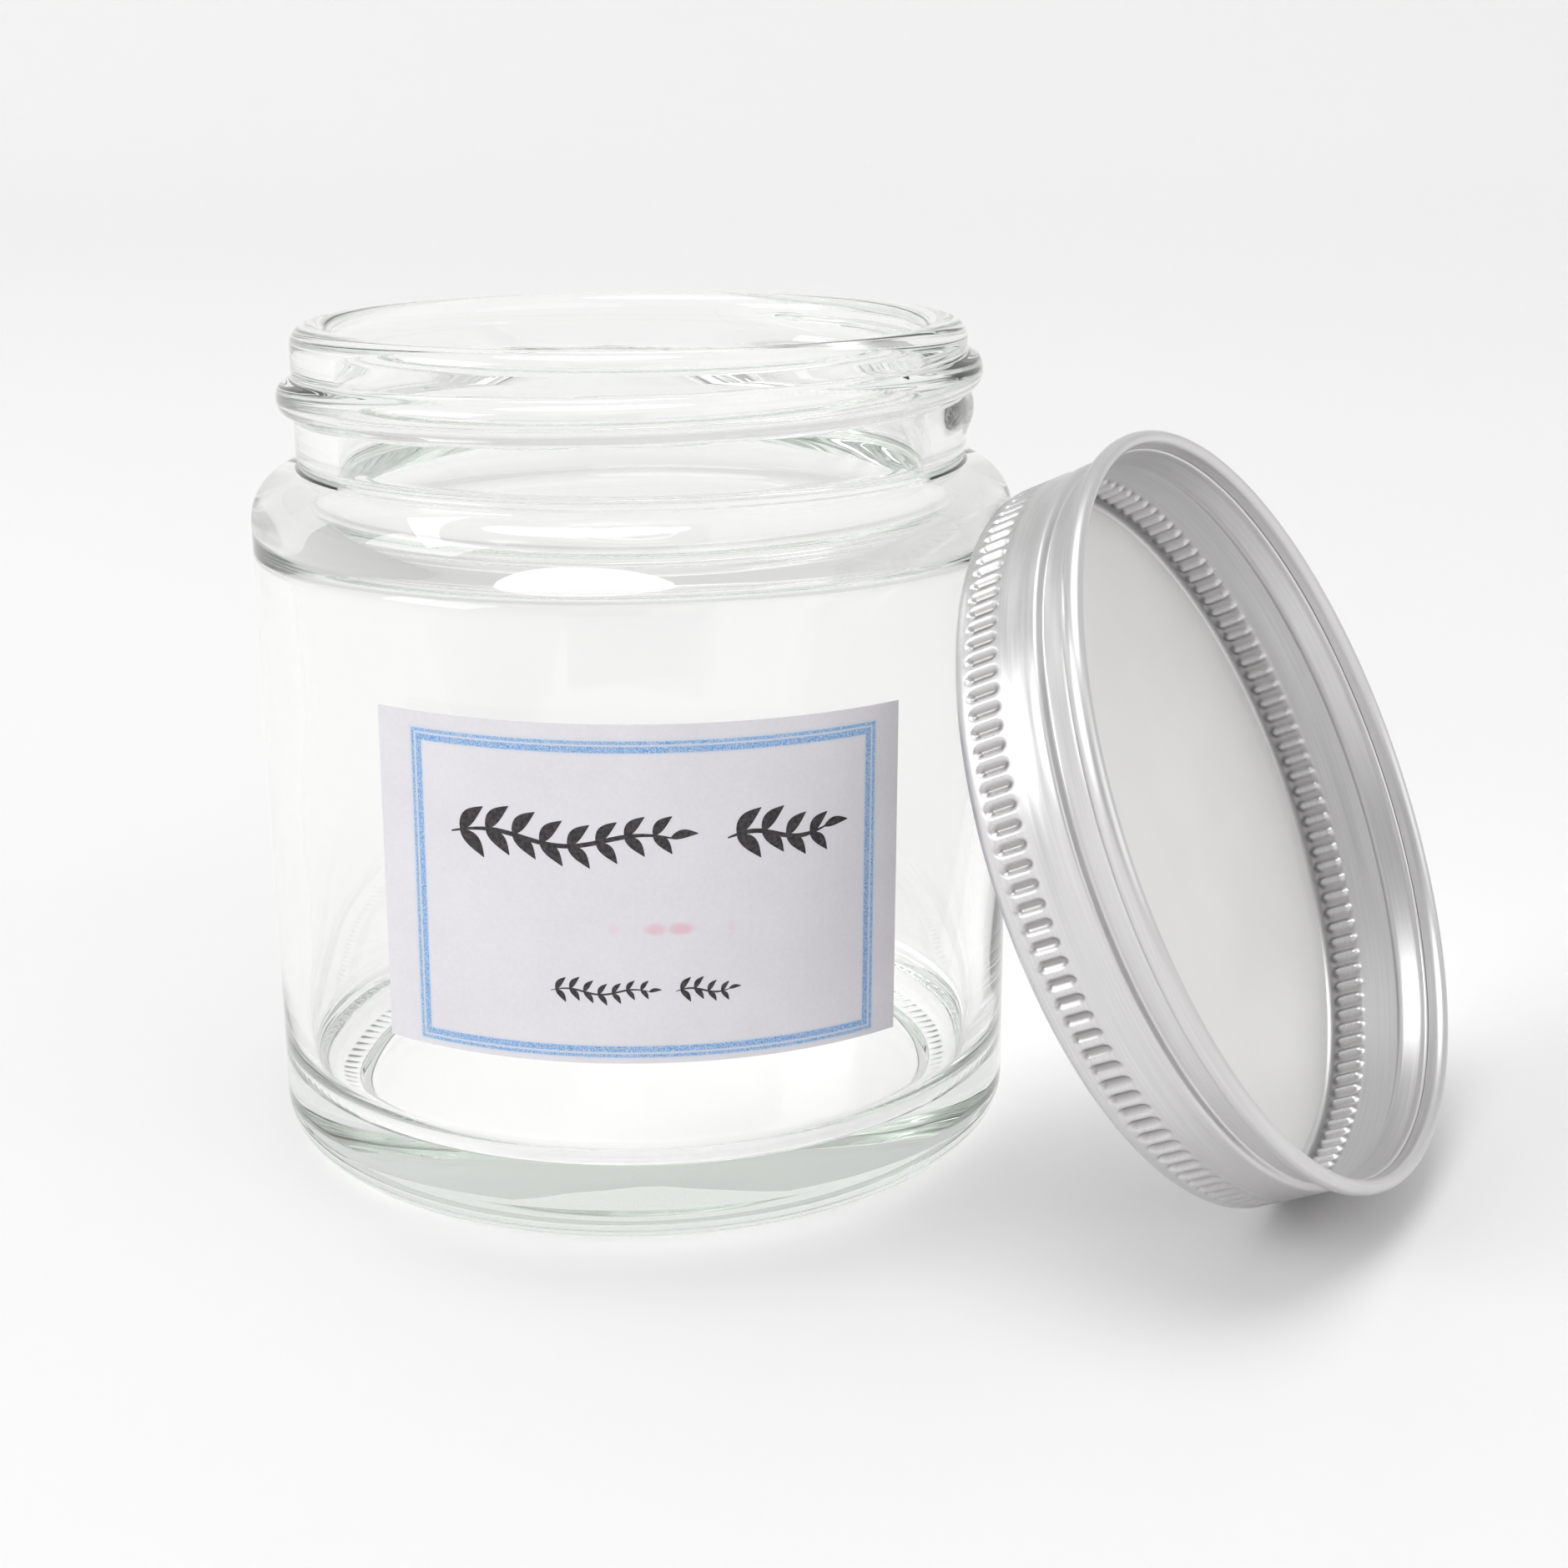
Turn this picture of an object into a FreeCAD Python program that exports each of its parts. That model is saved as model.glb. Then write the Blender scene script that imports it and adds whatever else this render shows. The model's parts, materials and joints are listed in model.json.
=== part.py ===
"""Clear glass candle jar with a paper label, its aluminium screw lid leaning open against the side.

Frame: origin at the centre of the jar's foot, on its axis; +Z up; the label faces -Y. Millimetres.
"""
import FreeCAD
import Part
import Sketcher
import math
import os

doc = FreeCAD.newDocument("candle_jar")
sheet = doc.addObject("Spreadsheet::Sheet", "sizes")

# Driving dimensions in mm, angles in degrees, thread lengths in turns.
SIZES = [
    # jar, outside
    ("body_radius", 37.5),
    ("shoulder_height", 68.0),
    ("shoulder_round", 5.0),
    ("heel_round", 4.0),
    ("punt_radius", 29.0),
    ("foot_inner_radius", 30.5),
    ("punt_depth", 1.0),
    # jar, neck
    ("neck_radius", 32.9),
    ("neck_root_radius", 32.3),
    ("neck_root_height", 69.2),
    ("jar_height", 81.5),
    ("lip_round", 1.8),
    ("mouth_radius", 28.8),
    # jar, inside
    ("cavity_radius", 34.2),
    ("cavity_top", 60.4),
    ("throat_bottom", 66.0),
    ("floor_height", 6.5),
    ("cavity_round", 4.0),
    # jar, screw thread
    ("thread_radius", 34.45),
    ("thread_pitch", 4.2),
    ("thread_start", 72.6),
    ("thread_turns", 1.2),
    ("thread_root_width", 3.6),
    ("thread_crest_width", 1.2),
    ("thread_sink", 0.6),
    # label
    ("label_thick", 0.12),
    ("label_span", 76.6),
    ("label_turn", -2.2),
    ("label_bottom", 18.7),
    ("label_top", 50.2),
    # lid, heights along its own axis from the closed face to the open rim
    ("lid_radius", 36.2),
    ("lid_depth", 13.6),
    ("lid_sheet", 0.3),
    ("lid_corner", 1.2),
    ("groove_start", 8.5),
    ("groove_middle", 9.1),
    ("groove_end", 11.2),
    ("groove_depth", 0.9),
    ("curl_round", 0.75),
    ("curl_gap", 70.0),
    ("bead_radius", 33.95),
    ("bead_start", 5.2),
    ("bead_turns", 0.8),
    ("bead_root_width", 2.2),
    ("bead_crest_width", 0.8),
    ("bead_sink", 0.1),
    # liner inside the closed face
    ("liner_radius", 34.8),
    ("liner_thick", 0.9),
    ("liner_gap", 0.02),
    # lean of the lid: its axis turned from +X towards -Y, its open side tilted up from the horizontal
    ("lid_azimuth", 33.3),
    ("lid_tilt", 24.75),
    ("lid_centre_x", 49.05),
    ("lid_centre_y", -20.16),
]

for row, (alias, value) in enumerate(SIZES, start=1):
    sheet.set("A%d" % row, alias)
    sheet.set("B%d" % row, str(value))
    sheet.setAlias("B%d" % row, alias)
doc.recompute()


class Size:
    """A length from the sheet: the number that it has now, and the expression that a feature is bound to."""

    def __init__(self, value, text):
        self.value = value
        self.text = text

    def __add__(self, other):
        return Size(self.value + other.value, "(%s + %s)" % (self.text, other.text))

    def __sub__(self, other):
        return Size(self.value - other.value, "(%s - %s)" % (self.text, other.text))

    def half(self):
        return Size(self.value / 2, "(%s / 2)" % self.text)


def size(alias):
    return Size(float(getattr(sheet, alias)), "sizes.%s" % alias)


NOTHING = Size(0.0, "0")


def new_body(label):
    body = doc.addObject("PartDesign::Body", label)
    body.Label = label
    return body


def new_sketch(body, name):
    """A sketch on the body's own XZ plane: across is the radius, up is the height."""
    sketch = body.newObject("Sketcher::SketchObject", name)
    plane = next(f for f in body.Origin.OriginFeatures if f.Role == "XZ_Plane")
    sketch.AttachmentSupport = [(plane, "")]
    sketch.MapMode = "FlatFace"
    return sketch


def hold(sketch, kind, name, geometry, end, length):
    """Fix a vertex across or up from the sketch's origin, at a length bound to the sheet."""
    if length.value == 0.0:
        axis = -2 if kind == "DistanceX" else -1
        sketch.addConstraint(Sketcher.Constraint("PointOnObject", geometry, end, axis))
        return
    index = sketch.addConstraint(Sketcher.Constraint(kind, -1, 1, geometry, end, length.value))
    sketch.renameConstraint(index, name)
    sketch.setExpression("Constraints." + name, length.text)


def draw_outline(sketch, corners):
    """Closed outline of straight lines through named corners, each held by its radius and height."""
    count = len(corners)
    for i in range(count):
        start = corners[i]
        end = corners[(i + 1) % count]
        line = Part.LineSegment(
            FreeCAD.Vector(start[1].value, start[2].value, 0),
            FreeCAD.Vector(end[1].value, end[2].value, 0),
        )
        sketch.addGeometry(line)
    for i in range(count):
        sketch.addConstraint(Sketcher.Constraint("Coincident", i, 2, (i + 1) % count, 1))
    for i, (name, across, up) in enumerate(corners):
        hold(sketch, "DistanceX", name + "_radius", i, 1, across)
        hold(sketch, "DistanceY", name + "_height", i, 1, up)


def revolve(body, sketch, name, angle=None):
    feature = body.newObject("PartDesign::Revolution", name)
    feature.Profile = sketch
    feature.ReferenceAxis = (sketch, ["V_Axis"])
    if angle is None:
        feature.Angle = 360.0
    else:
        feature.Midplane = True
        feature.setExpression("Angle", angle.text)
    doc.recompute()
    return feature


def round_circle(body, name, radius, height, fillet):
    """Round the sharp circle of the body's tip at this radius and height."""
    base = body.Tip
    doc.recompute()
    found = []
    for i, edge in enumerate(base.Shape.Edges, start=1):
        if not isinstance(edge.Curve, Part.Circle):
            continue
        same_radius = abs(edge.Curve.Radius - radius.value) < 1e-4
        same_height = abs(edge.Curve.Center.z - height.value) < 1e-4
        if same_radius and same_height:
            found.append("Edge%d" % i)
    if not found:
        raise RuntimeError("no circle for " + name)
    feature = body.newObject("PartDesign::Fillet", name)
    feature.Base = (base, found)
    feature.setExpression("Radius", fillet.text)
    doc.recompute()
    return feature


def wind_thread(body, name, root, crest, start, root_width, crest_width, turns):
    """Right-hand ridge wound about the axis, from its root radius to its crest radius."""
    sketch = new_sketch(body, name + "_section")
    draw_outline(sketch, [
        ("root_low", root, start - root_width.half()),
        ("crest_low", crest, start - crest_width.half()),
        ("crest_high", crest, start + crest_width.half()),
        ("root_high", root, start + root_width.half()),
    ])
    doc.recompute()
    feature = body.newObject("PartDesign::AdditiveHelix", name)
    feature.Profile = sketch
    feature.ReferenceAxis = (sketch, ["V_Axis"])
    feature.Mode = "pitch-turns-angle"
    feature.LeftHanded = False
    feature.setExpression("Pitch", size("thread_pitch").text)
    feature.setExpression("Turns", turns.text)
    doc.recompute()
    return feature


def make_jar():
    body = new_body("glass_jar")
    sketch = new_sketch(body, "jar_section")
    draw_outline(sketch, [
        ("punt_centre", NOTHING, size("punt_depth")),
        ("punt_edge", size("punt_radius"), size("punt_depth")),
        ("foot_inner", size("foot_inner_radius"), NOTHING),
        ("heel", size("body_radius"), NOTHING),
        ("shoulder", size("body_radius"), size("shoulder_height")),
        ("neck_foot", size("neck_root_radius"), size("shoulder_height")),
        ("neck_root", size("neck_radius"), size("neck_root_height")),
        ("lip_outer", size("neck_radius"), size("jar_height")),
        ("lip_inner", size("mouth_radius"), size("jar_height")),
        ("throat", size("mouth_radius"), size("throat_bottom")),
        ("cavity_high", size("cavity_radius"), size("cavity_top")),
        ("cavity_low", size("cavity_radius"), size("floor_height")),
        ("floor_centre", NOTHING, size("floor_height")),
    ])
    revolve(body, sketch, "jar_wall")
    body_radius = size("body_radius")
    cavity_radius = size("cavity_radius")
    top = size("jar_height")
    round_circle(body, "shoulder_edge", body_radius, size("shoulder_height"), size("shoulder_round"))
    round_circle(body, "heel_edge", body_radius, NOTHING, size("heel_round"))
    round_circle(body, "lip_outer_edge", size("neck_radius"), top, size("lip_round"))
    round_circle(body, "lip_inner_edge", size("mouth_radius"), top, size("lip_round"))
    round_circle(body, "cavity_top_edge", cavity_radius, size("cavity_top"), size("cavity_round"))
    round_circle(body, "cavity_floor_edge", cavity_radius, size("floor_height"), size("cavity_round"))
    wind_thread(
        body, "neck_thread",
        root=size("neck_radius") - size("thread_sink"),
        crest=size("thread_radius"),
        start=size("thread_start"),
        root_width=size("thread_root_width"),
        crest_width=size("thread_crest_width"),
        turns=size("thread_turns"),
    )
    return body


def make_label():
    """Paper wrapped on the outside of the wall, its middle a little left of the front."""
    body = new_body("paper_label")
    sketch = new_sketch(body, "label_section")
    inner = size("body_radius")
    outer = inner + size("label_thick")
    draw_outline(sketch, [
        ("inner_low", inner, size("label_bottom")),
        ("outer_low", outer, size("label_bottom")),
        ("outer_high", outer, size("label_top")),
        ("inner_high", inner, size("label_top")),
    ])
    revolve(body, sketch, "label_sheet", angle=size("label_span"))
    facing = FreeCAD.Rotation(FreeCAD.Vector(0, 0, 1), -90 + size("label_turn").value)
    body.Placement = FreeCAD.Placement(FreeCAD.Vector(0, 0, 0), facing)
    return body


def draw_curl(sketch):
    """Open ring section that rolls the sheet outwards from the end of the skirt."""
    outer_radius = size("curl_round")
    inner_radius = outer_radius - size("lid_sheet")
    across = size("lid_radius") - size("lid_sheet") + outer_radius
    up = size("lid_depth") - outer_radius
    centre = FreeCAD.Vector(across.value, up.value, 0)
    normal = FreeCAD.Vector(0, 0, 1)
    first = math.radians(size("curl_gap").value - 180)
    last = math.pi
    for i, radius in enumerate((outer_radius, inner_radius)):
        circle = Part.Circle(centre, normal, radius.value)
        sketch.addGeometry(Part.ArcOfCircle(circle, first, last))
        index = sketch.addConstraint(Sketcher.Constraint("Radius", i, radius.value))
        name = ("outer_radius", "inner_radius")[i]
        sketch.renameConstraint(index, name)
        sketch.setExpression("Constraints." + name, radius.text)
    sketch.addConstraint(Sketcher.Constraint("Coincident", 0, 3, 1, 3))
    hold(sketch, "DistanceX", "centre_radius", 0, 3, across)
    hold(sketch, "DistanceY", "centre_height", 0, 3, up)
    outer_arc = sketch.Geometry[0]
    inner_arc = sketch.Geometry[1]
    sketch.addGeometry(Part.LineSegment(outer_arc.EndPoint, inner_arc.EndPoint))
    sketch.addGeometry(Part.LineSegment(inner_arc.StartPoint, outer_arc.StartPoint))
    sketch.addConstraint(Sketcher.Constraint("Coincident", 2, 1, 0, 2))
    sketch.addConstraint(Sketcher.Constraint("Coincident", 2, 2, 1, 2))
    sketch.addConstraint(Sketcher.Constraint("Coincident", 3, 1, 1, 1))
    sketch.addConstraint(Sketcher.Constraint("Coincident", 3, 2, 0, 1))
    sketch.addConstraint(Sketcher.Constraint("Horizontal", 2))
    sketch.addConstraint(Sketcher.Constraint("PointOnObject", 0, 3, 2))
    sketch.addConstraint(Sketcher.Constraint("PointOnObject", 0, 3, 3))


def make_lid_shell(placement):
    """Thin sheet cap: flat face, skirt with a ring groove, curled rim and an inner screw bead."""
    body = new_body("lid_shell")
    sheet_thick = size("lid_sheet")
    outer = size("lid_radius")
    inner = outer - sheet_thick
    groove = size("groove_depth")
    end = size("lid_depth") - size("curl_round")
    sketch = new_sketch(body, "lid_section")
    draw_outline(sketch, [
        ("face_centre", NOTHING, NOTHING),
        ("face_edge", outer, NOTHING),
        ("groove_in", outer, size("groove_start")),
        ("groove_root", outer - groove, size("groove_middle")),
        ("groove_out", outer, size("groove_end")),
        ("skirt_end", outer, end),
        ("skirt_end_inner", inner, end),
        ("ridge_out", inner, size("groove_end")),
        ("ridge_crest", inner - groove, size("groove_middle")),
        ("ridge_in", inner, size("groove_start")),
        ("roof_edge", inner, sheet_thick),
        ("roof_centre", NOTHING, sheet_thick),
    ])
    revolve(body, sketch, "lid_skin")
    corner = size("lid_corner")
    round_circle(body, "face_corner", outer, NOTHING, corner)
    round_circle(body, "roof_corner", inner, sheet_thick, corner - sheet_thick)
    curl_sketch = new_sketch(body, "curl_section")
    draw_curl(curl_sketch)
    revolve(body, curl_sketch, "rim_curl")
    wind_thread(
        body, "screw_bead",
        root=inner + size("bead_sink"),
        crest=size("bead_radius"),
        start=size("bead_start"),
        root_width=size("bead_root_width"),
        crest_width=size("bead_crest_width"),
        turns=size("bead_turns"),
    )
    body.Placement = placement
    return body


def make_liner(placement):
    """Soft disc that lies on the inside of the lid's closed face."""
    disc = doc.addObject("Part::Cylinder", "lid_liner")
    disc.Label = "lid_liner"
    disc.setExpression("Radius", size("liner_radius").text)
    disc.setExpression("Height", size("liner_thick").text)
    height = size("lid_sheet") + size("liner_gap")
    on_face = FreeCAD.Placement(FreeCAD.Vector(0, 0, height.value), FreeCAD.Rotation())
    disc.Placement = placement.multiply(on_face)
    return disc


def lid_placement():
    """The lid stands on the edge of its closed face and leans back on the jar."""
    tilt = math.radians(size("lid_tilt").value)
    azimuth = math.radians(size("lid_azimuth").value)
    corner = size("lid_corner").value
    flat_radius = size("lid_radius").value - corner
    height = corner + flat_radius * math.cos(tilt) - corner * math.sin(tilt)
    centre = FreeCAD.Vector(size("lid_centre_x").value, size("lid_centre_y").value, height)
    axis = FreeCAD.Vector(
        math.cos(tilt) * math.cos(azimuth),
        -math.cos(tilt) * math.sin(azimuth),
        math.sin(tilt),
    )
    return FreeCAD.Placement(centre, FreeCAD.Rotation(FreeCAD.Vector(0, 0, 1), axis))


def check_and_export(pieces):
    doc.recompute()
    for item in doc.Objects:
        if "Invalid" in item.State or "Error" in item.State:
            raise RuntimeError("failed feature: " + item.Label)
    for piece in pieces:
        shape = piece.Shape
        if shape.isNull() or not shape.isValid():
            raise RuntimeError("bad shape: " + piece.Label)
    os.makedirs("parts", exist_ok=True)
    for piece in pieces:
        piece.Shape.exportStep("parts/%s.step" % piece.Label)
        print(piece.Label, "solids", len(piece.Shape.Solids), "volume", round(piece.Shape.Volume, 1))


lean = lid_placement()
check_and_export([make_jar(), make_label(), make_lid_shell(lean), make_liner(lean)])
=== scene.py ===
"""Clear glass candle jar with a paper label, its aluminium screw lid leaning against the side.

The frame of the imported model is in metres: origin at the jar's foot, +Z up, the label facing -Y.
Sizes and outlines below are in millimetres and are scaled when a mesh is made.
"""
import bpy
import json
import math
from mathutils import Matrix, Vector


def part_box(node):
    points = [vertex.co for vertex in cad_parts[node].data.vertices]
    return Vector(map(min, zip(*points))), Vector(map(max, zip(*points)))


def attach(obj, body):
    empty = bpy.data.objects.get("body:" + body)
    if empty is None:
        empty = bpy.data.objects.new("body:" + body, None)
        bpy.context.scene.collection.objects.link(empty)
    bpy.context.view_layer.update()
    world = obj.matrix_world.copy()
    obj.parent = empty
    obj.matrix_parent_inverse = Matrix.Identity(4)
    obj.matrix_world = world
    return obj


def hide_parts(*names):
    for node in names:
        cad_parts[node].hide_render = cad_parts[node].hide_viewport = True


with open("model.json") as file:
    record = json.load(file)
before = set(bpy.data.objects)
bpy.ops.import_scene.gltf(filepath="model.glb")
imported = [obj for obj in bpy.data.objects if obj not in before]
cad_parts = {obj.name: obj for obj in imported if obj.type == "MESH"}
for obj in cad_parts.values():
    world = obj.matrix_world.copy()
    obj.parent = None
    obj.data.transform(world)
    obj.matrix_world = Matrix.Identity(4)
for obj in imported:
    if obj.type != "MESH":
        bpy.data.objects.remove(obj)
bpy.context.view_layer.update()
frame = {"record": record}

MM = 0.001


# ---------------------------------------------------------------- sizes taken from the frame

def mm_box(node):
    low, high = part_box(node)
    return [v / MM for v in low], [v / MM for v in high]


JAR_TOP = mm_box("glass_jar")[1]
LABEL_LOW, LABEL_HIGH = mm_box("paper_label")
JOINTS = {joint["name"]: joint for joint in frame["record"]["behaviour"]["joints"]}
MOUNTS = {mount["name"]: mount for mount in frame["record"]["mounts"]}
LID_ORIGIN = Vector(JOINTS["lid_turn"]["pos_m"])
LID_AXIS = Vector(JOINTS["lid_turn"]["axis"]).normalized()

# jar section
JAR_HEIGHT = JAR_TOP[2]
BODY_RADIUS = 37.5
HEEL_ROUND = 4.0
SHOULDER_HEIGHT = 68.0
SHOULDER_ROUND = 5.0
NECK_RADIUS = 32.9
NECK_START = 69.2
LIP_ROUND = 1.8
MOUTH_RADIUS = MOUNTS["mouth"]["dims"]["r_mm"]
THROAT_BOTTOM = 66.0
CAVITY_RADIUS = 34.2
CAVITY_TOP = 60.4
CAVITY_ROUND = 4.0
FLOOR_HEIGHT = 6.5
FLOOR_ROUND = 4.5
FLOOR_DISH = 0.4
PUNT_RADIUS = 29.0
PUNT_DEPTH = 1.0
JAR_AROUND = 384

# ring that the jar stands on
FOOT_INNER = 30.5
FOOT_BARS = 128
FOOT_BAR_HEIGHT = 0.10
FOOT_BARS_FROM = 30.7
FOOT_BARS_TO = 34.4

# screw thread of the neck
THREAD_RADIUS = 34.45
THREAD_PITCH = 4.2
THREAD_START = 72.6
THREAD_TURNS = 1.2
THREAD_LEAD = 0.055
THREAD_WIDTH = 3.9

# lid section, heights along the lid's axis from the closed face
LID_RADIUS = 36.2
LID_DEPTH = 13.6
SHEET = 0.3
LID_CORNER = 1.05
FLUTES = 130
FLUTE_LOW = 1.5
FLUTE_HIGH = 4.9
FLUTE_DEPTH = 0.5
FLUTE_HALF = 0.40
POINTS_PER_FLUTE = 8
GROOVE_HEIGHT = 8.9
GROOVE_DEPTH = 0.75
SEAM_LOW = 11.2
SEAM_MIDDLE = 11.55
SEAM_HIGH = 11.75
CURL_HALF_WIDTH = 0.72
CURL_HALF_HEIGHT = 1.0
CURL_SWEEP = 290.0

# screw bead rolled into the lid
BEAD_TURNS = 0.85
BEAD_START = 5.9
BEAD_RISE = 1.6
BEAD_HALF = 0.9
BEAD_DEPTH = 0.3
BEAD_FADE = 0.12

# liner
LINER_RADIUS = 34.8
LINER_THICK = 0.9
LINER_GAP = 0.02

# label, and the printed border measured from the border's own middle
LABEL_HEIGHT = LABEL_HIGH[2] - LABEL_LOW[2]
LABEL_CENTRE_HEIGHT = (LABEL_HIGH[2] + LABEL_LOW[2]) / 2
LABEL_THICK = 0.12
LABEL_WIDTH = 50.1
LABEL_MIDDLE = -2.2
LABEL_TILT = -0.72
BORDER_HALF_WIDTH = 21.65
BORDER_HALF_HEIGHT = 14.55
BORDER_SHIFT = 0.45
INK_SINK = 0.02
INK_RISE = 0.012

# table: flat out to its reach, then a curve upwards
FLOOR_DROP = 0.1
TABLE_REACH = 2200.0
TABLE_CURVE = 1500.0
TABLE_SWEEP = 78.0


# ---------------------------------------------------------------- mesh helpers

ARC_STEP = 0.35
FEWEST_IN_ARC = 3
MOST_IN_ARC = 16


def smooth_step(x):
    x = min(max(x, 0.0), 1.0)
    return x * x * (3 - 2 * x)


def corner_arc(before, here, after, fillet):
    """Points of the arc of radius fillet that replaces the corner at here."""
    back = (before - here).normalized()
    forward = (after - here).normalized()
    half = back.angle(forward) / 2
    reach = fillet / math.tan(half)
    centre = here + (back + forward).normalized() * (fillet / math.sin(half))
    start = here + back * reach - centre
    finish = here + forward * reach - centre
    turn = math.pi - 2 * half
    if start.x * finish.y - start.y * finish.x <= 0:
        turn = -turn
    count = max(FEWEST_IN_ARC, math.ceil(abs(turn) * fillet / ARC_STEP))
    count = min(count, MOST_IN_ARC)
    arc = []
    for k in range(count + 1):
        a = turn * k / count
        arc.append(centre + Vector((
            start.x * math.cos(a) - start.y * math.sin(a),
            start.x * math.sin(a) + start.y * math.cos(a),
        )))
    return arc


def rounded(corners, step):
    """Polyline through (radius, height, fillet, spacing) corners: arcs at the corners, divided straights.

    Spacing belongs to the straight that leaves the corner; None takes the common step.
    """
    places = [Vector((radius, height)) for radius, height, fillet, spacing in corners]
    arcs = []
    for i, (radius, height, fillet, spacing) in enumerate(corners):
        if fillet == 0:
            arcs.append([places[i]])
        else:
            arcs.append(corner_arc(places[i - 1], places[i], places[i + 1], fillet))
    points = list(arcs[0])
    for i in range(1, len(arcs)):
        start = arcs[i - 1][-1]
        end = arcs[i][0]
        spacing = corners[i - 1][3] or step
        count = max(1, round((end - start).length / spacing))
        for k in range(1, count):
            points.append(start.lerp(end, k / count))
        points.extend(arcs[i])
    return points


def new_mesh(name, vertices, faces, smooth=True):
    mesh = bpy.data.meshes.new(name)
    mesh.from_pydata([(x * MM, y * MM, z * MM) for x, y, z in vertices], [], faces)
    mesh.validate()
    mesh.update()
    if smooth:
        mesh.shade_smooth()
    piece = bpy.data.objects.new(name, mesh)
    bpy.context.scene.collection.objects.link(piece)
    return piece


def lathe(name, rows, around, shape=None, shade=None):
    """Turn a section that starts and ends on the axis about Z.

    shape(angle, row, radius, height), where given, moves each point to its own radius and height.
    shade(angle, row, height), where given, is kept on each point as a value of painted shade that a
    material can read. Row 0 of both is the first one off the axis.
    """
    vertices = []
    faces = []
    depths = []
    inner = rows[1:-1]
    for j, (radius, height) in enumerate(inner):
        for i in range(around):
            angle = 2 * math.pi * i / around
            r, z = shape(angle, j, radius, height) if shape else (radius, height)
            vertices.append((r * math.cos(angle), r * math.sin(angle), z))
            if shade:
                depths.append(shade(angle, j, height))
    for j in range(len(inner) - 1):
        low = j * around
        high = low + around
        for i in range(around):
            k = (i + 1) % around
            faces.append((low + i, low + k, high + k, high + i))
    first = len(vertices)
    vertices.append((0.0, 0.0, rows[0][1]))
    vertices.append((0.0, 0.0, rows[-1][1]))
    last_row = (len(inner) - 1) * around
    for i in range(around):
        k = (i + 1) % around
        faces.append((first, k, i))
        faces.append((first + 1, last_row + i, last_row + k))
    piece = new_mesh(name, vertices, faces)
    if shade:
        depths.extend([0.0, 0.0])
        # amount of shade painted into the material's colour
        painted_recess_shade = piece.data.attributes.new("painted_recess_shade", "FLOAT", "POINT")
        painted_recess_shade.data.foreach_set("value", depths)
    return piece


def lid_rotation():
    return Vector((0, 0, 1)).rotation_difference(LID_AXIS)


def place_on_lid(piece):
    """Move a mesh built about Z, closed face at zero, to the leaning lid."""
    piece.data.transform(Matrix.Translation(LID_ORIGIN) @ lid_rotation().to_matrix().to_4x4())


def dress(piece, material, body):
    piece.data.materials.append(material)
    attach(piece, body)


# ---------------------------------------------------------------- material helpers

class Nodes:
    """A material's node tree, with short calls to add and join nodes."""

    def __init__(self, name):
        self.material = bpy.data.materials.new(name)
        self.material.use_nodes = True
        self.tree = self.material.node_tree
        self.shader = self.tree.nodes["Principled BSDF"]
        self.output = self.tree.nodes["Material Output"]

    def add(self, kind, **settings):
        node = self.tree.nodes.new(kind)
        for key, value in settings.items():
            setattr(node, key, value)
        return node

    def link(self, source, target):
        self.tree.links.new(source, target)

    def set(self, name, value):
        self.shader.inputs[name].default_value = value

    def feed(self, name, source):
        self.link(source, self.shader.inputs[name])

    def noise(self, scale, detail=3.0, roughness=0.5, vector=None):
        node = self.add("ShaderNodeTexNoise")
        node.inputs["Scale"].default_value = scale
        node.inputs["Detail"].default_value = detail
        node.inputs["Roughness"].default_value = roughness
        self.link(vector, node.inputs["Vector"])
        return node.outputs["Fac"]

    def object_place(self):
        return self.add("ShaderNodeTexCoord").outputs["Object"]

    def map_range(self, value, low, high, to_low, to_high):
        node = self.add("ShaderNodeMapRange")
        self.link(value, node.inputs["Value"])
        node.inputs["From Min"].default_value = low
        node.inputs["From Max"].default_value = high
        node.inputs["To Min"].default_value = to_low
        node.inputs["To Max"].default_value = to_high
        return node.outputs["Result"]

    def math(self, operation, a, b=None):
        node = self.add("ShaderNodeMath", operation=operation)
        for socket, value in zip(node.inputs, (a, b)):
            if value is None:
                continue
            if isinstance(value, (int, float)):
                socket.default_value = value
            else:
                self.link(value, socket)
        return node.outputs["Value"]

    def mix(self, factor, a, b):
        node = self.add("ShaderNodeMix", data_type="RGBA")
        self.link(factor, node.inputs["Factor"])
        for socket, value in ((node.inputs["A"], a), (node.inputs["B"], b)):
            if isinstance(value, tuple):
                socket.default_value = (*value, 1.0)
            else:
                self.link(value, socket)
        return node.outputs["Result"]

    def blend(self, a, share, b):
        """Weighted sum of two values: share of a, and the rest of b."""
        return self.math("ADD", self.math("MULTIPLY", a, share), self.math("MULTIPLY", b, 1.0 - share))

    def bump(self, height, strength, distance):
        node = self.add("ShaderNodeBump")
        node.inputs["Strength"].default_value = strength
        node.inputs["Distance"].default_value = distance
        self.link(height, node.inputs["Height"])
        return node.outputs["Normal"]


# ---------------------------------------------------------------- glass and paper

def glass_material():
    """Clear soda glass, faintly uneven and faintly green where it is thick."""
    nodes = Nodes("soda_glass")
    nodes.set("Base Color", (1.0, 1.0, 1.0, 1.0))
    nodes.set("Transmission Weight", 1.0)
    nodes.set("IOR", 1.5)
    nodes.set("Roughness", 0.0)
    ripple = nodes.noise(45.0, detail=1.5, vector=nodes.object_place())
    nodes.feed("Normal", nodes.bump(ripple, strength=0.12, distance=0.0006))
    volume = nodes.add("ShaderNodeVolumeAbsorption")
    volume.inputs["Color"].default_value = (0.52, 0.68, 0.53, 1.0)
    volume.inputs["Density"].default_value = 4.5
    nodes.link(volume.outputs["Volume"], nodes.output.inputs["Volume"])
    return nodes.material


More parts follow.
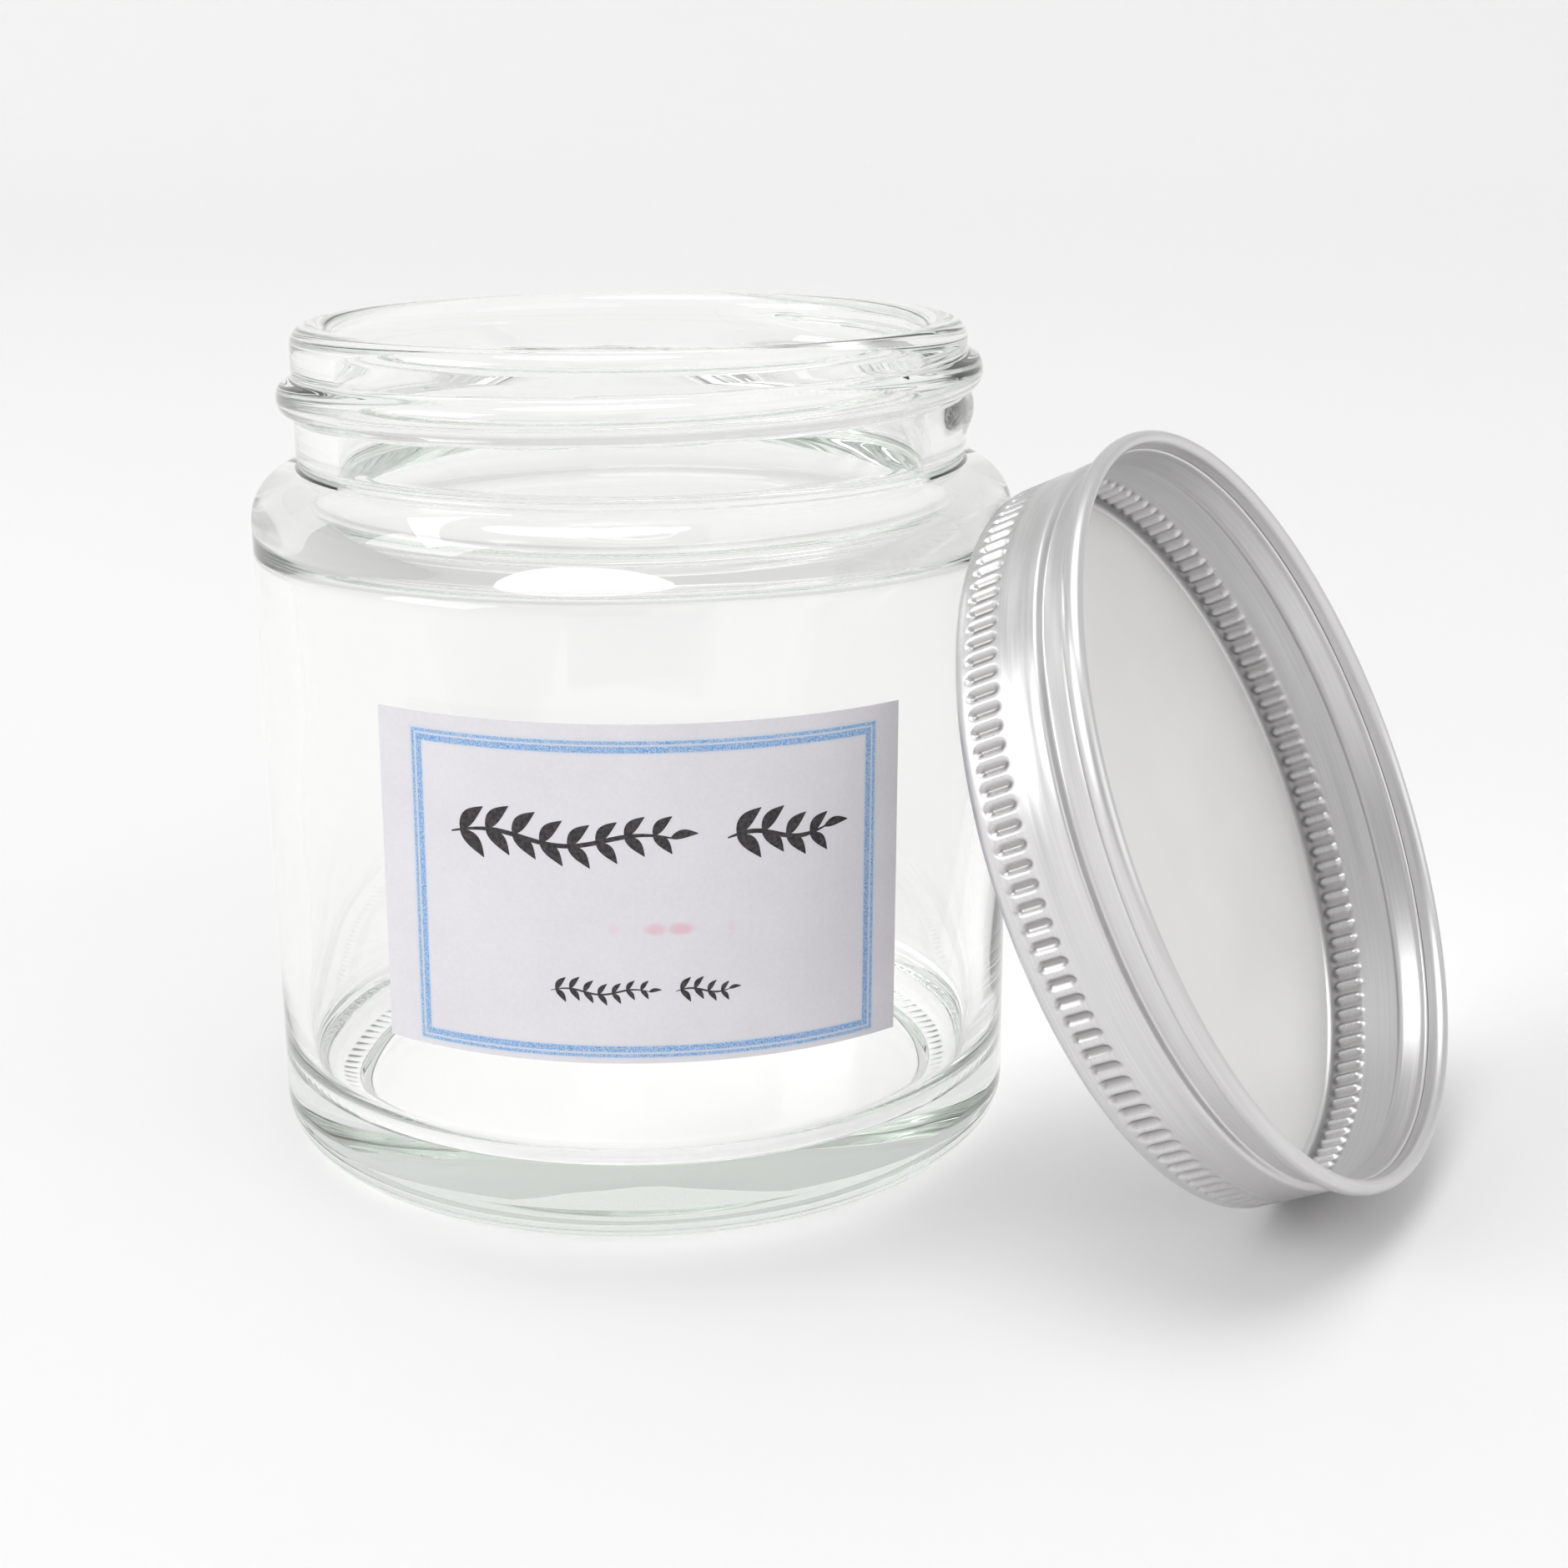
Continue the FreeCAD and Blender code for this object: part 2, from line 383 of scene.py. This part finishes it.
def label_millimetres(nodes):
    """Millimetres across and up from the label's middle."""
    node = nodes.add("ShaderNodeUVMap", uv_map="millimetres")
    split = nodes.add("ShaderNodeSeparateXYZ")
    nodes.link(node.outputs["UV"], split.inputs["Vector"])
    return split.outputs["X"], split.outputs["Y"]


def stripe(nodes, distance, centre, half_width, soft):
    """One where distance is within half_width of centre, fading over soft."""
    away = nodes.math("ABSOLUTE", nodes.math("SUBTRACT", distance, centre))
    return nodes.map_range(away, half_width, half_width + soft, 1.0, 0.0)


def printed_border(nodes, paper, across, up, place):
    """A thin and a thick blue line, printed in dots, with a pale halo between them."""
    middle_up = nodes.math("ADD", up, BORDER_SHIFT)
    middle_across = nodes.math("SUBTRACT", across, BORDER_SHIFT)
    side = nodes.math("SUBTRACT", nodes.math("ABSOLUTE", middle_across), BORDER_HALF_WIDTH)
    level = nodes.math("SUBTRACT", nodes.math("ABSOLUTE", middle_up), BORDER_HALF_HEIGHT)
    edge = nodes.math("MAXIMUM", side, level)
    dots = nodes.noise(9000.0, detail=1.0, vector=place)
    thin = stripe(nodes, edge, centre=0.0, half_width=0.10, soft=0.12)
    thick = stripe(nodes, edge, centre=-0.62, half_width=0.22, soft=0.14)
    halo = stripe(nodes, edge, centre=-0.35, half_width=0.45, soft=0.45)
    speckle = nodes.map_range(dots, 0.38, 0.62, 0.25, 1.0)
    with_halo = nodes.mix(nodes.math("MULTIPLY", halo, 0.35), paper, (0.45, 0.62, 0.84))
    with_thin = nodes.mix(nodes.math("MULTIPLY", thin, speckle), with_halo, (0.14, 0.37, 0.70))
    return nodes.mix(nodes.math("MULTIPLY", thick, speckle), with_thin, (0.11, 0.34, 0.70))


def pink_spots(nodes, across, up):
    """A few faint spots in a row under the upper ornament: place across, half width and strength."""
    row_height = -3.0
    half_height = 0.55
    total = None
    for x, half_width, strength in ((-2.6, 0.45, 0.3), (1.1, 1.0, 0.8), (3.4, 1.1, 1.0), (8.0, 0.4, 0.3)):
        dx = nodes.math("DIVIDE", nodes.math("SUBTRACT", across, x), half_width)
        dy = nodes.math("DIVIDE", nodes.math("SUBTRACT", up, row_height), half_height)
        far = nodes.math("ADD", nodes.math("MULTIPLY", dx, dx), nodes.math("MULTIPLY", dy, dy))
        spot = nodes.map_range(far, 0.2, 1.6, strength, 0.0)
        total = spot if total is None else nodes.math("MAXIMUM", total, spot)
    return total


def paper_material():
    """Uncoated lilac-grey paper with a printed double border, in the label's own millimetres."""
    nodes = Nodes("label_paper")
    across, up = label_millimetres(nodes)
    place = nodes.object_place()
    cloud = nodes.noise(160.0, detail=4.0, vector=place)
    fibre = nodes.noise(2600.0, detail=3.0, roughness=0.7, vector=place)
    tone = nodes.map_range(nodes.blend(cloud, 0.5, fibre), 0.3, 0.7, 0.0, 1.0)
    paper = nodes.mix(tone, (0.73, 0.72, 0.76), (0.81, 0.795, 0.83))
    bordered = printed_border(nodes, paper, across, up, place)
    blush = nodes.math("MULTIPLY", pink_spots(nodes, across, up), 0.8)
    nodes.feed("Base Color", nodes.mix(blush, bordered, (0.80, 0.50, 0.58)))
    nodes.feed("Roughness", nodes.map_range(cloud, 0.3, 0.7, 0.62, 0.8))
    nodes.feed("Normal", nodes.bump(fibre, strength=0.25, distance=0.00004))
    return nodes.material


def ink_material():
    """Near-black printing ink with a fine uneven grain."""
    nodes = Nodes("label_ink")
    grain = nodes.noise(3000.0, detail=2.0, vector=nodes.object_place())
    tone = nodes.map_range(grain, 0.35, 0.65, 0.0, 1.0)
    nodes.feed("Base Color", nodes.mix(tone, (0.012, 0.011, 0.014), (0.06, 0.05, 0.055)))
    nodes.set("Roughness", 0.6)
    return nodes.material


# ---------------------------------------------------------------- metal, foam and table

def lid_place(nodes):
    """Coordinates in the lid's own frame, in metres: Z along its axis from the closed face."""
    lid_frame = nodes.add("ShaderNodeMapping", vector_type="TEXTURE")
    lid_frame.inputs["Location"].default_value = LID_ORIGIN
    lid_frame.inputs["Rotation"].default_value = lid_rotation().to_euler()
    nodes.link(nodes.object_place(), lid_frame.inputs["Vector"])
    return lid_frame.outputs["Vector"]


def turning_marks(nodes, place, across, along):
    """Noise drawn out round the lid's axis: rings on the flat face, fine lines round the skirt."""
    split = nodes.add("ShaderNodeSeparateXYZ")
    nodes.link(place, split.inputs["Vector"])
    x = split.outputs["X"]
    y = split.outputs["Y"]
    square = nodes.math("ADD", nodes.math("MULTIPLY", x, x), nodes.math("MULTIPLY", y, y))
    reach = nodes.math("ADD", nodes.math("SQRT", square), split.outputs["Z"])
    join = nodes.add("ShaderNodeCombineXYZ")
    nodes.link(nodes.math("MULTIPLY", x, along), join.inputs["X"])
    nodes.link(nodes.math("MULTIPLY", y, along), join.inputs["Y"])
    nodes.link(nodes.math("MULTIPLY", reach, across), join.inputs["Z"])
    return nodes.noise(1.0, detail=3.0, roughness=0.6, vector=join.outputs["Vector"])


def aluminium_material():
    """Satin sheet: fine turning marks round the axis, a little mottle, and shade painted darker into the
    recesses.
    """
    nodes = Nodes("satin_aluminium")
    place = lid_place(nodes)
    marks = turning_marks(nodes, place, across=5200.0, along=60.0)
    mottle = nodes.noise(150.0, detail=3.0, vector=place)
    tone = nodes.map_range(marks, 0.3, 0.7, 0.0, 1.0)
    sheet = nodes.mix(tone, (0.67, 0.665, 0.67), (0.76, 0.755, 0.76))
    # painted shade: the base colour is darkened in the flute recesses outside and between the flutes' backs
    # inside
    painted_recess_shade = nodes.add("ShaderNodeAttribute", attribute_name="painted_recess_shade")
    depth = nodes.map_range(painted_recess_shade.outputs["Fac"], 0.15, 1.0, 0.0, 0.8)
    nodes.feed("Base Color", nodes.mix(depth, sheet, (0.30, 0.29, 0.285)))
    nodes.set("Metallic", 1.0)
    nodes.feed("Roughness", nodes.map_range(nodes.blend(marks, 0.6, mottle), 0.3, 0.7, 0.32, 0.42))
    nodes.feed("Normal", nodes.bump(marks, strength=0.10, distance=0.00001))
    return nodes.material


def liner_material():
    """Thin satin-faced foam disc."""
    nodes = Nodes("liner_foam")
    place = nodes.object_place()
    cells = nodes.noise(1800.0, detail=2.0, vector=place)
    cloud = nodes.noise(90.0, detail=3.0, vector=place)
    tone = nodes.map_range(cloud, 0.3, 0.7, 0.0, 1.0)
    nodes.feed("Base Color", nodes.mix(tone, (0.82, 0.82, 0.812), (0.86, 0.86, 0.852)))
    nodes.feed("Roughness", nodes.map_range(cloud, 0.3, 0.7, 0.32, 0.42))
    nodes.feed("Normal", nodes.bump(cells, strength=0.2, distance=0.00003))
    return nodes.material


def table_material():
    nodes = Nodes("white_table")
    nodes.set("Base Color", (0.885, 0.88, 0.882, 1.0))
    nodes.set("Roughness", 0.55)
    nodes.set("Specular IOR Level", 0.25)
    return nodes.material


# ---------------------------------------------------------------- the jar

def thread_lift(angle, height):
    """How far the screw thread stands out of the neck at this angle and height."""
    lift = 0.0
    for turn in (-1, 0, 1):
        along = angle / (2 * math.pi) + turn
        if not -THREAD_LEAD < along < THREAD_TURNS:
            continue
        ends = smooth_step((along + THREAD_LEAD) / 0.08) * smooth_step((THREAD_TURNS - along) / 0.06)
        away = abs(height - THREAD_START - THREAD_PITCH * along) / (THREAD_WIDTH / 2)
        if away >= 1:
            continue
        crown = math.sqrt(1 - away * away) * (1 - away ** 6)
        lift = max(lift, ends * crown * (THREAD_RADIUS - NECK_RADIUS))
    return lift


def foot_lift(angle, radius):
    """Small radial bars moulded into the ring that the jar stands on."""
    bars = 0.5 + 0.5 * math.cos(FOOT_BARS * angle)
    band = smooth_step((radius - FOOT_BARS_FROM) / 0.5) * smooth_step((FOOT_BARS_TO - radius) / 0.6)
    return FOOT_BAR_HEIGHT * bars * band


def wall_ripple(angle, height):
    """Unevenness of the blown inside wall, fading out at the floor and under the shoulder."""
    slow = 0.12 * math.sin(2 * angle + 0.06 * height + 1.3) + 0.06 * math.sin(3 * angle - 0.11 * height)
    fine = 0.025 * math.sin(7 * angle + 0.23 * height + 0.7) + 0.012 * math.sin(11 * angle - 0.31 * height)
    fade = smooth_step((height - FLOOR_HEIGHT - 2) / 8) * smooth_step((62 - height) / 6)
    return fade * (slow + fine)


def make_jar():
    """One closed skin: under the foot, up the outside, over the lip and down to the floor inside."""
    outside = [
        (0.0, PUNT_DEPTH, 0, 3.0),
        (PUNT_RADIUS, PUNT_DEPTH, 1.0, 0.4),
        (FOOT_INNER, 0.0, 0.8, 0.35),
        (BODY_RADIUS, 0.0, HEEL_ROUND, 2.4),
        (BODY_RADIUS, SHOULDER_HEIGHT, SHOULDER_ROUND, 0.8),
        (NECK_RADIUS - 0.6, SHOULDER_HEIGHT, 0.45, 0.3),
        (NECK_RADIUS, NECK_START, 0.7, 0.24),
        (NECK_RADIUS, JAR_HEIGHT, LIP_ROUND, 0.3),
        (MOUTH_RADIUS, JAR_HEIGHT, LIP_ROUND, 1.2),
        (MOUTH_RADIUS, THROAT_BOTTOM, 3.0, 0.5),
        (CAVITY_RADIUS, CAVITY_TOP, CAVITY_ROUND, 1.6),
        (CAVITY_RADIUS, FLOOR_HEIGHT, FLOOR_ROUND, 2.2),
        (0.0, FLOOR_HEIGHT - FLOOR_DISH, 0, None),
    ]
    rows = rounded(outside, 1.0)
    in_throat = [p.x < MOUTH_RADIUS + 0.1 and THROAT_BOTTOM - 1 < p.y < NECK_START + 0.8 for p in rows]
    throat_row = in_throat.index(True) - 1

    def shape(angle, row, radius, height):
        if row >= throat_row:
            if radius > MOUTH_RADIUS + 1:
                radius += wall_ripple(angle, height)
            return radius, height
        if height > SHOULDER_HEIGHT + 1 and radius > NECK_RADIUS - 1:
            radius += thread_lift(angle, height)
        if height < 0.6 and radius < FOOT_BARS_TO + 0.6:
            height += foot_lift(angle, radius)
        return radius, height

    jar = lathe("jar_glass", rows, JAR_AROUND, shape)
    dress(jar, glass_material(), "jar")
    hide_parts("glass_jar")
    # the renderer would give clear glass an opaque object's shadow
    jar.visible_shadow = False


# ---------------------------------------------------------------- the label

def on_label(across, up, lift):
    """A place on the label: millimetres across and up from its middle, and above the glass."""
    tilt = math.radians(LABEL_TILT)
    u = across * math.cos(tilt) - up * math.sin(tilt)
    v = across * math.sin(tilt) + up * math.cos(tilt)
    angle = math.radians(LABEL_MIDDLE) + u / BODY_RADIUS
    radius = BODY_RADIUS + lift
    return (radius * math.sin(angle), -radius * math.cos(angle), LABEL_CENTRE_HEIGHT + v)


def unprinted(point):
    """Where the back of the sheet takes its paper from: a patch of the front that carries no print."""
    return (point[0] * 0.3 - 9.0, point[1] * 0.3 + 5.0)


def sheet_on_label(name, strips, low, high):
    """Closed thin sheets that follow the glass. Each strip is a list of (left, right) points."""
    vertices = []
    faces = []
    places = []
    for strip in strips:
        first = len(vertices)
        count = len(strip)
        for lift in (low, high):
            for pair in strip:
                for point in pair:
                    vertices.append(on_label(point[0], point[1], lift))
                    places.append(point if lift == high else unprinted(point))
        top = first + 2 * count
        for k in range(count - 1):
            a = first + 2 * k
            b = top + 2 * k
            faces.append((a, a + 1, a + 3, a + 2))
            faces.append((b, b + 2, b + 3, b + 1))
            faces.append((a, a + 2, b + 2, b))
            faces.append((a + 1, b + 1, b + 3, a + 3))
        end = 2 * (count - 1)
        faces.append((first, top, top + 1, first + 1))
        faces.append((first + end, first + end + 1, top + end + 1, top + end))
    piece = new_mesh(name, vertices, faces, smooth=False)
    uv = piece.data.uv_layers.new(name="millimetres")
    for loop in piece.data.loops:
        uv.data[loop.index].uv = places[loop.vertex_index]
    return piece


def make_label():
    columns = 64
    strip = []
    for k in range(columns + 1):
        x = LABEL_WIDTH * (k / columns - 0.5)
        strip.append(((x, -LABEL_HEIGHT / 2), (x, LABEL_HEIGHT / 2)))
    label = sheet_on_label("label_sheet", [strip], 0.0, LABEL_THICK)
    dress(label, paper_material(), "jar")
    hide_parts("paper_label")


def leaf(x, y, length, width, direction):
    """Strip of a pointed leaf that starts at (x, y) and grows in the given direction, in degrees."""
    a = math.radians(direction)
    strip = []
    steps = 10
    for k in range(steps + 1):
        t = k / steps
        half = width / 2 * math.sin(math.pi * t ** 0.8) + 0.03
        bend = 0.08 * length * math.sin(math.pi * t)
        cx = x + length * t * math.cos(a) - bend * math.sin(a)
        cy = y + length * t * math.sin(a) + bend * math.cos(a)
        strip.append((
            (cx + half * math.sin(a), cy - half * math.cos(a)),
            (cx - half * math.sin(a), cy + half * math.cos(a)),
        ))
    return strip


def line_strip(points, width):
    """Strip along a polyline, thinner towards both ends."""
    strip = []
    last = len(points) - 1
    for k, (x, y) in enumerate(points):
        before = Vector(points[max(k - 1, 0)])
        after = Vector(points[min(k + 1, last)])
        along = (after - before).normalized()
        taper = min(1.0, 0.35 + 3 * min(k, last - k) / len(points))
        side = Vector((-along.y, along.x)) * (width / 2 * taper)
        strip.append(((x + side.x, y + side.y), (x - side.x, y - side.y)))
    return strip


def sprig(start, end, centre, swing, wave, leaf_length, leaf_width, stem, leaves, lean):
    """A leafy twig from start to end: a gently waving stem with pairs of leaves and one at the tip."""

    def stem_height(x):
        return centre + swing * math.sin(2 * math.pi * (x - start) / wave)

    points = []
    for k in range(33):
        x = start + (end - start) * k / 32
        points.append((x, stem_height(x)))
    strips = [line_strip(points, stem)]
    for k in range(leaves):
        t = (k + 0.35) / leaves
        x = start + (end - start) * t
        size = 1.0 - 0.3 * t
        for side in (1, -1):
            strips.append(leaf(x, stem_height(x), leaf_length * size, leaf_width * size, side * lean))
    tip = points[-1]
    strips.append(leaf(tip[0] - 0.1, tip[1], leaf_length * 0.75, leaf_width * 0.6, 8.0))
    return strips


def make_print():
    """Generic ornament printed where the label carries its lines: two leafy twigs, and two small ones."""
    large = {"leaf_length": 3.3, "leaf_width": 1.25, "stem": 0.42, "lean": 46.0}
    small = {"leaf_length": 1.5, "leaf_width": 0.5, "stem": 0.17, "lean": 52.0}
    strips = sprig(-17.4, 2.6, centre=5.2, swing=0.55, wave=14.0, leaves=8, **large)
    strips += sprig(7.6, 16.9, centre=5.2, swing=0.45, wave=9.0, leaves=4, **large)
    strips += sprig(-8.3, 0.6, centre=-8.9, swing=0.25, wave=6.0, leaves=7, **small)
    strips += sprig(2.9, 7.8, centre=-8.9, swing=0.25, wave=5.0, leaves=4, **small)
    ink = sheet_on_label("label_print", strips, LABEL_THICK - INK_SINK, LABEL_THICK + INK_RISE)
    dress(ink, ink_material(), "jar")


# ---------------------------------------------------------------- the lid

def lid_profile():
    """Mid-line of the lid's sheet from the centre of the closed face to the end of the curl."""
    mid = LID_RADIUS - SHEET / 2
    wide = CURL_HALF_WIDTH - SHEET / 2
    tall = CURL_HALF_HEIGHT - SHEET / 2
    corners = [
        (0.0, SHEET / 2, 0, 4.0),
        (mid, SHEET / 2, LID_CORNER, 0.22),
        (mid, FLUTE_HIGH + 0.3, 0, 0.8),
        (mid, GROOVE_HEIGHT - 0.35, 0.3, 0.15),
        (mid - GROOVE_DEPTH, GROOVE_HEIGHT + 0.1, 0.35, 0.25),
        (mid - 0.15, SEAM_LOW, 1.2, 0.2),
        (mid - 0.2, SEAM_MIDDLE, 0.12, 0.1),
        (mid, SEAM_HIGH, 0.1, 0.1),
        (mid, LID_DEPTH - CURL_HALF_HEIGHT, 0, 0.3),
    ]
    points = rounded(corners, 0.25)
    centre = Vector((mid + wide, LID_DEPTH - CURL_HALF_HEIGHT))
    steps = 20
    for k in range(1, steps + 1):
        a = math.pi - math.radians(CURL_SWEEP) * k / steps
        points.append(centre + Vector((wide * math.cos(a), tall * math.sin(a))))
    return points


def flute_push(angle, height):
    """Depth of the grip flutes: scooped slots pressed into the skirt, with narrow ridges between them."""
    across = (FLUTES * angle / (2 * math.pi)) % 1.0 - 0.5
    if abs(across) >= FLUTE_HALF:
        return 0.0
    scoop = math.cos(math.pi * across / (2 * FLUTE_HALF)) ** 1.2
    inset = 0.45 * (1 - scoop)
    ends = smooth_step((height - FLUTE_LOW - inset) / 0.55) * smooth_step((FLUTE_HIGH - inset - height) / 0.7)
    return FLUTE_DEPTH * scoop * ends


def bead_push(angle, height):
    """Depth of the rolled screw bead, one right-hand turn that runs out at both ends."""
    along = angle / (2 * math.pi)
    away = abs(height - BEAD_START - BEAD_RISE * along) / BEAD_HALF
    if along >= BEAD_TURNS or away >= 1:
        return 0.0
    ends = smooth_step(along / BEAD_FADE) * smooth_step((BEAD_TURNS - along) / BEAD_FADE)
    return BEAD_DEPTH * ends * (0.5 + 0.5 * math.cos(math.pi * away))


def make_lid_shell():
    """The sheet's two faces, half its thickness to either side of the mid-line, as one closed skin."""
    line = lid_profile()
    last = len(line) - 1
    outer = []
    inner = []
    for k, point in enumerate(line):
        along = (line[min(k + 1, last)] - line[max(k - 1, 0)]).normalized()
        offset = Vector((along.y, -along.x)) * (SHEET / 2)
        outer.append(point + offset)
        inner.append(point - offset)
    outer[0].x = 0.0
    inner[0].x = 0.0
    rows = outer + inner[::-1]
    skirt_rows = [r.x > LID_RADIUS - 0.6 and 1.3 < r.y < GROOVE_HEIGHT - 0.5 for r in rows]

    def shape(angle, row, radius, height):
        if skirt_rows[row + 1]:
            radius -= max(flute_push(angle, height), bead_push(angle, height))
        return radius, height

    def shade(angle, row, height):
        """Painted shade: one in the bottom of a flute outside, and part of that between the flutes' backs
        inside.
        """
        if not skirt_rows[row + 1]:
            return 0.0
        depth = min(1.0, flute_push(angle, height) / FLUTE_DEPTH)
        if row + 1 < len(outer):
            return depth
        band = smooth_step((height - FLUTE_LOW) / 0.5) * smooth_step((FLUTE_HIGH - height) / 0.5)
        return 0.6 * band * (1.0 - depth)

    shell = lathe("lid_cap_shell", rows, FLUTES * POINTS_PER_FLUTE, shape, shade)
    place_on_lid(shell)
    dress(shell, aluminium_material(), "lid_cap")
    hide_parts("lid_shell")


def make_liner():
    base = SHEET + LINER_GAP
    corners = [
        (0.0, base, 0, 4.0),
        (LINER_RADIUS, base, 0.2, 0.4),
        (LINER_RADIUS, base + LINER_THICK, 0.35, 3.0),
        (0.0, base + LINER_THICK, 0, None),
    ]
    liner = lathe("lid_liner_disc", rounded(corners, 1.0), 192)
    place_on_lid(liner)
    dress(liner, liner_material(), "lid_seal")
    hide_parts("lid_liner")


# ---------------------------------------------------------------- stage, light and camera

def make_table():
    """A white table that curves up at its far edge all the way round."""
    rows = []
    for k in range(1, 13):
        rows.append((TABLE_REACH * (k / 12) ** 1.5, 0.0))
    for k in range(1, 21):
        a = math.radians(TABLE_SWEEP) * k / 20
        rows.append((TABLE_REACH + TABLE_CURVE * math.sin(a), TABLE_CURVE * (1 - math.cos(a))))
    vertices = []
    faces = []
    around = 96
    for radius, height in rows:
        for i in range(around):
            a = 2 * math.pi * i / around
            vertices.append((radius * math.cos(a), radius * math.sin(a), height))
    for j in range(len(rows) - 1):
        low = j * around
        high = low + around
        for i in range(around):
            k = (i + 1) % around
            faces.append((low + i, high + i, high + k, low + k))
    middle = len(vertices)
    vertices.append((0.0, 0.0, 0.0))
    for i in range(around):
        faces.append((middle, i, (i + 1) % around))
    table = new_mesh("table", vertices, faces)
    table.location.z = -FLOOR_DROP * MM
    table.data.materials.append(table_material())


def add_to_scene(name, data):
    thing = bpy.data.objects.new(name, data)
    bpy.context.scene.collection.objects.link(thing)
    return thing


def sun_light(name, direction, strength, spread):
    """A wide, soft sun in the given direction from the object; spread is its width in degrees."""
    light = bpy.data.lights.new(name, "SUN")
    light.energy = strength
    light.angle = math.radians(spread)
    lamp = add_to_scene(name, light)
    lamp.rotation_euler = Vector(direction).to_track_quat("Z", "Y").to_euler()


def area_light(name, place, target, width, height, power):
    light = bpy.data.lights.new(name, "AREA")
    light.shape = "RECTANGLE"
    light.size = width
    light.size_y = height
    light.energy = power
    lamp = add_to_scene(name, light)
    lamp.location = place
    lamp.rotation_euler = (Vector(target) - Vector(place)).to_track_quat("-Z", "Y").to_euler()


def make_lights():
    sun_light("key_light", direction=(-0.14, 0.02, 0.98), strength=0.90, spread=34.0)
    sun_light("fill_light", direction=(0.50, -0.74, 0.40), strength=0.62, spread=60.0)
    area_light(
        "side_light",
        place=(-1.16, -0.36, 0.82),
        target=(0.04, -0.02, 0.04),
        width=0.8,
        height=0.6,
        power=5.5,
    )


def make_world():
    """Soft white surroundings, brightest behind, above and to the right, dimmer on the camera's side."""
    world = bpy.data.worlds.new("studio")
    bpy.context.scene.world = world
    world.use_nodes = True
    tree = world.node_tree
    background = tree.nodes["Background"]
    place = tree.nodes.new("ShaderNodeTexCoord")
    lean = tree.nodes.new("ShaderNodeVectorMath")
    lean.operation = "DOT_PRODUCT"
    lean.inputs[1].default_value = (0.55, 0.65, 0.10)
    ramp = tree.nodes.new("ShaderNodeMapRange")
    tree.links.new(place.outputs["Generated"], lean.inputs[0])
    tree.links.new(lean.outputs["Value"], ramp.inputs["Value"])
    ramp.inputs["From Min"].default_value = -0.9
    ramp.inputs["From Max"].default_value = 0.9
    ramp.inputs["To Min"].default_value = 0.44
    ramp.inputs["To Max"].default_value = 0.76
    tree.links.new(ramp.outputs["Result"], background.inputs["Strength"])
    background.inputs["Color"].default_value = (1.0, 0.995, 0.99, 1.0)


def allow_deep_paths():
    """Light runs a long way inside the thick glass base before it comes out."""
    cycles = bpy.context.scene.cycles
    cycles.max_bounces = 24
    cycles.glossy_bounces = 16
    cycles.transmission_bounces = 24


def make_camera():
    """The eye is 241 mm in front of the jar's axis and 103 mm up, looking a little right and down."""
    data = bpy.data.cameras.new("camera")
    data.angle = math.radians(35.86)
    data.clip_start = 0.01
    data.clip_end = 20.0
    eye = Matrix.Translation((-0.00852, -0.24046, 0.10325))
    right = Matrix.Rotation(math.radians(-5.54), 4, "Z")
    down = Matrix.Rotation(math.radians(90 - 16.09), 4, "X")
    roll = Matrix.Rotation(math.radians(-0.34), 4, "Z")
    camera = add_to_scene("camera", data)
    camera.matrix_world = eye @ right @ down @ roll
    bpy.context.scene.camera = camera


make_camera()
make_world()
make_lights()
make_table()
make_jar()
make_label()
make_print()
make_lid_shell()
make_liner()
bpy.context.scene.view_settings.view_transform = "Standard"
allow_deep_paths()
